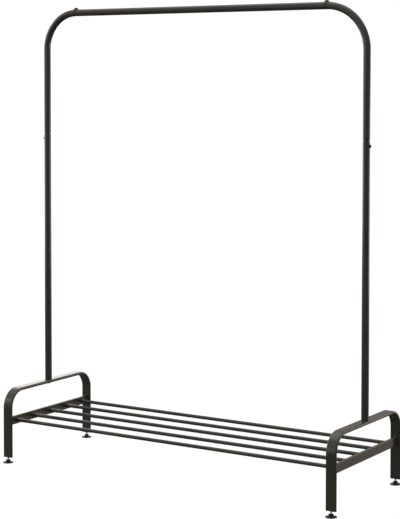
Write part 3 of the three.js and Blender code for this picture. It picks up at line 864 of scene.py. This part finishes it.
    # hex hub with a chamfered crown, on the stud
    lo, hi = span(f"foot_hub_{name}")
    z0, z1 = lo[2], hi[2]
    n = 96
    af = 7.6 * 2 * math.cos(math.pi / 6)
    def hx(k, z):
        return np.column_stack([hexagon(n, k), np.full(n, z)])
    def soft_hex(k, round_r, z):
        o = hexagon(n, k)
        r = np.minimum(np.hypot(o[:, 0], o[:, 1]), round_r)
        a_ = np.linspace(0, 2 * math.pi, n, endpoint=False)
        return np.column_stack([np.cos(a_) * r, np.sin(a_) * r, np.full(n, z)])
    def rd(r, z):
        return np.column_stack([circle(n) * r, np.full(n, z)])
    rings = [rd(3.3, z0), soft_hex(af - 0.6, 7.1, z0), soft_hex(af, 7.35, z0 + 0.3), soft_hex(af, 7.5, z0 + 0.6), soft_hex(af, 7.5, z1 - 2.0), soft_hex(af, 7.35, z1 - 1.5),
             soft_hex(af, 6.95, z1 - 0.95), soft_hex(af, 6.4, z1 - 0.45), rd(5.9, z1 - 0.12), rd(5.5, z1), rd(3.6, z1), rd(3.3, z1 - 0.25)]
    v, f = place(loft(rings, loop=True), "Z", (x, y, 0))
    o = new_object(f"hex_hub_{name}", v, f, PLASTIC, smooth=28)
    piece(o, f"stud_{name}", "foot_plastic", f"foot_hub_{name}")

# ---------------------------------------------------------------- light and camera
WORLD = (0.10, 0.20, 0.26, 0.55, 1.0)
LIGHTS = {
    # azimuth, distance, height, aimed at z, (width, height), radiance, colour
    "back_left_wall": (158, 4.6, 1.7, 0.9, (7.5, 3.0), 2.0, (1.0, 0.985, 0.96)),
    "ceiling": (150, 0.8, 4.2, 0.6, (4.0, 3.5), 0.9, (1.0, 0.99, 0.97)),
    "front_strip": (-86, 4.6, 2.1, 1.2, (0.4, 1.6), 5.0, (0.97, 0.98, 1.0)),
    "right_fill": (48, 4.0, 0.6, 0.2, (4.8, 1.1), 3.1, (1.0, 0.86, 0.70)),
    "left_wall": (206, 4.6, 1.5, 0.9, (2.8, 2.8), 2.2, (1.0, 1.0, 1.0)),
    "front_left_wall": (248, 4.6, 1.2, 1.2, (1.2, 2.2), 0.8, (1.0, 0.99, 0.97)),
    "low_right_bounce": (57, 4.0, -0.7, 0.1, (2.4, 1.4), 0.3, (1.0, 0.80, 0.58)),
}
# Studio: white all round to the eye, but what lights the rack is a dark room with a pale ceiling,
# one very wide soft wall at the back left, a low warm fill at the right and a thin strip in front.
world = bpy.data.worlds.new("studio")
scene.world = world
world.use_nodes = True
wn, wl = world.node_tree.nodes, world.node_tree.links
bg = wn["Background"]
wtc = wn.new("ShaderNodeTexCoord")
wsep = wn.new("ShaderNodeSeparateXYZ")
wl.new(wtc.outputs["Generated"], wsep.inputs[0])
wmap = wn.new("ShaderNodeMapRange")
wmap.inputs["From Min"].default_value = -1.0
wmap.inputs["From Max"].default_value = 1.0
wl.new(wsep.outputs["Z"], wmap.inputs["Value"])
wramp = wn.new("ShaderNodeValToRGB")
wramp.color_ramp.interpolation = "B_SPLINE"
el = wramp.color_ramp.elements
el[0].position, el[0].color = 0.0, (*[WORLD[0]] * 3, 1)
el[1].position, el[1].color = 1.0, (*[WORLD[4]] * 3, 1)
for pos, v in ((0.42, WORLD[1]), (0.52, WORLD[2]), (0.75, WORLD[3])):
    e = el.new(pos)
    e.color = (v, v, v, 1)
wl.new(wmap.outputs["Result"], wramp.inputs["Fac"])
wl.new(wramp.outputs["Color"], bg.inputs["Color"])
bg.inputs["Strength"].default_value = 1.0
bg2 = wn.new("ShaderNodeBackground")
bg2.inputs["Color"].default_value = (1, 1, 1, 1)
bg2.inputs["Strength"].default_value = 1.05
lp = wn.new("ShaderNodeLightPath")
mx = wn.new("ShaderNodeMixShader")
wl.new(lp.outputs["Is Camera Ray"], mx.inputs["Fac"])
wl.new(bg.outputs[0], mx.inputs[1])
wl.new(bg2.outputs[0], mx.inputs[2])
wl.new(mx.outputs[0], wn["World Output"].inputs["Surface"])


def softbox(name, azimuth, distance, height, aim_z, size, radiance, colour=(1, 1, 1)):
    """Area light standing round the rack; radiance is what a mirror would show of it."""
    a = math.radians(azimuth)
    at = Vector((distance * math.cos(a), distance * math.sin(a), height))
    d = bpy.data.lights.new(name, "AREA")
    d.shape = "RECTANGLE"
    d.size, d.size_y = size
    d.energy = radiance * math.pi * size[0] * size[1]
    d.color = colour
    o = bpy.data.objects.new(name, d)
    o.location = at
    o.rotation_euler = (Vector((0, 0, aim_z)) - at).to_track_quat("-Z", "Y").to_euler()
    scene.collection.objects.link(o)
    return o


softbox("back_left_wall", *LIGHTS["back_left_wall"])
softbox("ceiling", *LIGHTS["ceiling"])
softbox("left_wall", *LIGHTS["left_wall"])
softbox("front_strip", *LIGHTS["front_strip"])
softbox("right_fill", *LIGHTS["right_fill"])
softbox("front_left_wall", *LIGHTS["front_left_wall"])
softbox("low_right_bounce", *LIGHTS["low_right_bounce"])

scene.view_settings.view_transform = "Standard"
scene.view_settings.look = "None"

cam_data = bpy.data.cameras.new("camera")
cam = bpy.data.objects.new("camera", cam_data)
scene.collection.objects.link(cam)
AZ, PITCH, ROLL, F, CX, CY = 32.36819, 2.58479, 0.03654, 1543.5235, 200.0, 152.0
CAM = Vector((2.642010, -4.148250, 1.257072))
a, e, r = map(math.radians, (AZ, PITCH, ROLL))
d = Vector((-math.sin(a) * math.cos(e), math.cos(a) * math.cos(e), -math.sin(e)))
right = Vector((math.cos(a), math.sin(a), 0))
up = right.cross(d)
right2 = right * math.cos(r) + up * math.sin(r)
up2 = -right * math.sin(r) + up * math.cos(r)
cam.matrix_world = Matrix(((right2.x, up2.x, -d.x, CAM.x), (right2.y, up2.y, -d.y, CAM.y), (right2.z, up2.z, -d.z, CAM.z), (0, 0, 0, 1)))
W, H = 400.0, 519.0
cam_data.sensor_fit = "VERTICAL"
cam_data.sensor_height = 36.0
cam_data.sensor_width = 36.0
cam_data.lens = F / H * 36.0
cam_data.shift_x = (W / 2 - CX) / H
cam_data.shift_y = -(H / 2 - CY) / H
cam_data.clip_start, cam_data.clip_end = 0.05, 200.0
scene.camera = cam
